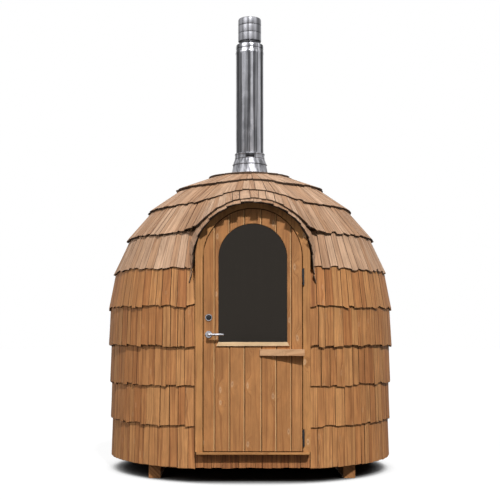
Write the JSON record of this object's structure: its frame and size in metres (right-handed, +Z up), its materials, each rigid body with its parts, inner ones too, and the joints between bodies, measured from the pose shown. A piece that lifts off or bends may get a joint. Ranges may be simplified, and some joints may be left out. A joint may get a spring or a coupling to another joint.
{
  "type": "igloo sauna",
  "caption": "Round timber sauna cabin with a shingled wall and dome, an arched glazed door under an eyebrow canopy and an insulated chimney through the crown.",
  "frame": {"origin": "middle of the plan's box at ground level, under the bearers", "axes": "+Z up, -Y towards the front with the door, +X to the right as seen from the front"},
  "size_m": [2.286, 2.3632, 3.654],
  "materials": {
    "bearer_timber": "sawn, dark",
    "frame_timber": "sawn",
    "floor_boards": "planed boards",
    "panel_timber": "planed boards",
    "shingle": "split shingles, oiled",
    "canopy_board": "bent board, oiled",
    "door_frame": "planed, oiled",
    "passage_board": "planed boards",
    "sill_timber": "planed, oiled",
    "door_board": "planed boards, oiled",
    "tinted_glass": "dark tinted, clear polish",
    "pale_strip": "planed, pale",
    "stop_timber": "planed, oiled",
    "dark_steel": "black",
    "bright_steel": "polished",
    "clip_steel": "brushed",
    "liner_steel": "plain",
    "flue_steel": "bright rolled"
  },
  "bodies": {
    "cabin": {"bearers": "bearer_timber", "floor_joists": "frame_timber", "ring_beam": "frame_timber", "floor_deck": "floor_boards", "wall_panel_1": "panel_timber", "wall_panel_2": "panel_timber", "wall_panel_3": "panel_timber", "wall_panel_4": "panel_timber", "wall_panel_5": "panel_timber", "wall_panel_6": "panel_timber", "wall_panel_7": "panel_timber", "dome_panel_1": "panel_timber", "dome_panel_2": "panel_timber", "dome_panel_3": "panel_timber", "dome_panel_4": "panel_timber", "dome_panel_5": "panel_timber", "dome_panel_6": "panel_timber", "dome_panel_7": "panel_timber", "dome_panel_front": "panel_timber", "crown_ring": "panel_timber", "wall_shingles": "shingle", "dome_shingles": "shingle", "canopy_deck": "canopy_board", "canopy_shingles": "shingle", "jamb_left": "door_frame", "jamb_right": "door_frame", "frame_head": "door_frame", "passage_lining": "passage_board", "door_sill": "sill_timber", "sill_panel": "shingle", "hinges_frame": "dark_steel", "flue_liner": "liner_steel", "flue_pipe": "flue_steel", "flue_cap": "flue_steel", "locking_band": "clip_steel", "storm_collar": "flue_steel", "flashing": "flue_steel"},
    "door": {"door_leaf": "door_board", "door_glass": "tinted_glass", "glass_strip": "pale_strip", "door_stop": "stop_timber", "hinges_door": "dark_steel", "door_roses": "bright_steel"},
    "lever": {"door_lever": "bright_steel"}
  },
  "joints": [
    {"name": "door_swing", "type": "hinge", "parent": "cabin", "child": "door", "pos_m": [0.36, -1.05324, 0.9], "axis": [0, 0, 1], "range_deg": [0, 85]},
    {"name": "lever_turn", "type": "hinge", "parent": "door", "child": "lever", "pos_m": [-0.314, -1.05124, 1.0615], "axis": [0, 1, 0], "range_deg": [0, 40], "stiffness_Nm_per_rad": 1.2, "springref_deg": -20.05}
  ]
}
